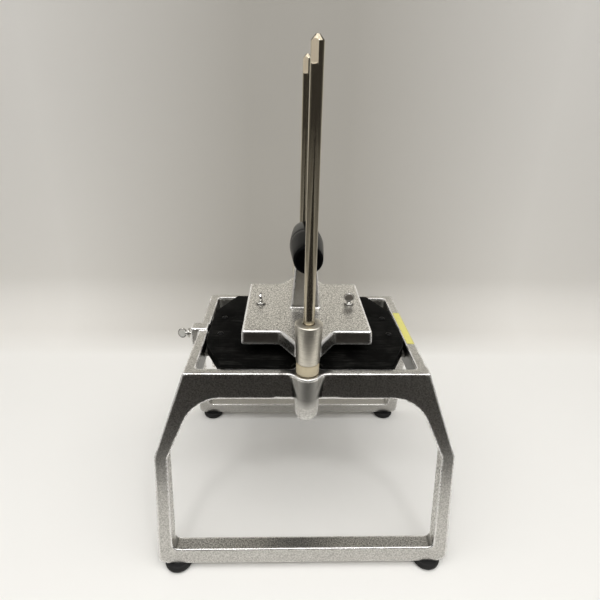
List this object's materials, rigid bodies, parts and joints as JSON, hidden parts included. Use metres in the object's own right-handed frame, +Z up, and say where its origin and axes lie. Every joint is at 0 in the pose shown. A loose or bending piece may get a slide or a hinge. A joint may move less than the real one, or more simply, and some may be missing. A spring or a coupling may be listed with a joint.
{
  "type": "vegetable dicer",
  "caption": "Free-standing hand-operated dicer: a cast frame on splayed leg loops, guide rods, and a T-handled push head that drives a fingered block through crossed blades.",
  "frame": {"origin": "on the table, under the middle of the frame between the four feet", "axes": "+Z up along the guide rods, -Y towards the front leg loop, +X to the right seen from the front"},
  "size_m": [0.3274, 0.297, 0.536],
  "materials": {
    "cast_aluminium": "sand cast and tumbled, fine grain, bright worn edges",
    "polished_rod": "polished stainless steel",
    "black_plastic": "satin moulded plastic with scuffs",
    "grip_plastic": "glossy moulded plastic",
    "nylon": "natural nylon, satin",
    "rubber": "matte black rubber",
    "plated_steel": "bright plated steel",
    "blade_steel": "ground stainless steel strip"
  },
  "bodies": {
    "frame": {"frame_casting": "cast_aluminium", "guide_rod_front": "polished_rod", "guide_rod_rear": "polished_rod", "stop_sleeve_front": "nylon", "stop_sleeve_rear": "nylon", "rubber_foot_front_left": "rubber", "rubber_foot_front_right": "rubber", "rubber_foot_rear_left": "rubber", "rubber_foot_rear_right": "rubber", "foot_screw_front_left": "plated_steel", "foot_screw_front_right": "plated_steel", "foot_screw_rear_left": "plated_steel", "foot_screw_rear_right": "plated_steel", "blade_carrier": "black_plastic", "blade_frame": "cast_aluminium", "upper_blade_1": "blade_steel", "upper_blade_2": "blade_steel", "upper_blade_3": "blade_steel", "upper_blade_4": "blade_steel", "upper_blade_5": "blade_steel", "upper_blade_6": "blade_steel", "upper_blade_7": "blade_steel", "upper_blade_8": "blade_steel", "lower_blade_1": "blade_steel", "lower_blade_2": "blade_steel", "lower_blade_3": "blade_steel", "lower_blade_4": "blade_steel", "lower_blade_5": "blade_steel", "lower_blade_6": "blade_steel", "lower_blade_7": "blade_steel", "lower_blade_8": "blade_steel", "carrier_screw_front_left": "plated_steel", "carrier_screw_front_right": "plated_steel", "carrier_screw_rear_left": "plated_steel", "carrier_screw_rear_right": "plated_steel"},
    "push_head": {"push_head": "cast_aluminium", "guide_bushing_front": "nylon", "guide_bushing_rear": "nylon", "grip_half_front": "grip_plastic", "grip_half_rear": "grip_plastic", "pusher_block": "black_plastic"},
    "pusher_screw_left": {"pusher_screw_left": "plated_steel"},
    "pusher_screw_right": {"pusher_screw_right": "plated_steel"},
    "carrier_lock_screw": {"carrier_lock_screw": "plated_steel"}
  },
  "joints": [
    {"name": "head_slide", "type": "slide", "parent": "frame", "child": "push_head", "axis": [0, 0, 1], "range_m": [0, 0.215]},
    {"name": "pusher_screw_left_turn", "type": "hinge", "parent": "push_head", "child": "pusher_screw_left", "pos_m": [-0.0523, 0.003, 0.2669], "axis": [0, 0, 1], "continuous": true},
    {"name": "pusher_screw_right_turn", "type": "hinge", "parent": "push_head", "child": "pusher_screw_right", "pos_m": [0.0523, 0.003, 0.2669], "axis": [0, 0, 1], "continuous": true},
    {"name": "carrier_lock_screw_turn", "type": "hinge", "parent": "frame", "child": "carrier_lock_screw", "pos_m": [-0.1388, 0, 0.228], "axis": [1, 0, 0], "continuous": true}
  ]
}
